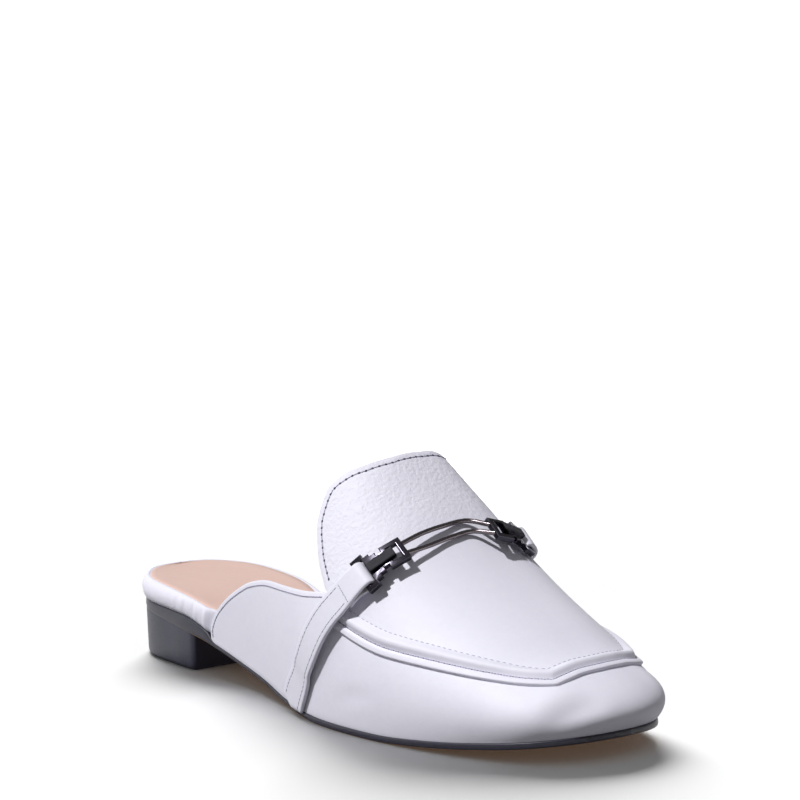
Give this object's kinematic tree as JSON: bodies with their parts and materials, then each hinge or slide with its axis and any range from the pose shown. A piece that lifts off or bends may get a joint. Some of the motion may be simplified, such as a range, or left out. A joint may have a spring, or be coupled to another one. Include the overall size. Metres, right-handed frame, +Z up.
{
  "type": "mule shoe",
  "caption": "Backless square-toed leather loafer mule with a low block heel, side straps and a bit across the instep, right shoe.",
  "frame": {"origin": "under the middle of the shoe's bounding box, on the floor that the sole stands on", "axes": "+X towards the toe, +Y towards the medial (inner) side, +Z up"},
  "size_m": [0.2654, 0.0854, 0.09],
  "materials": {
    "upper_white": "smooth white leather, soft sheen",
    "strap_white": "smooth white leather, stitched edges",
    "rand_white": "soft white leather wrap, lightly wrinkled",
    "sock_tan": "matt tan sock leather",
    "sole_black": "black edge, tan resin underside",
    "heel_black": "black semi-gloss block heel",
    "gunmetal": "polished gunmetal plating"
  },
  "bodies": {
    "root": {"outsole": "sole_black", "heel_block": "heel_black", "insole": "sock_tan", "heel_rand": "rand_white", "upper": "upper_white", "strap_lateral": "strap_white", "link_lateral": "gunmetal", "strap_medial": "strap_white", "link_medial": "gunmetal", "bit_bar_front": "gunmetal", "bit_bar_rear": "gunmetal"}
  },
  "joints": []
}
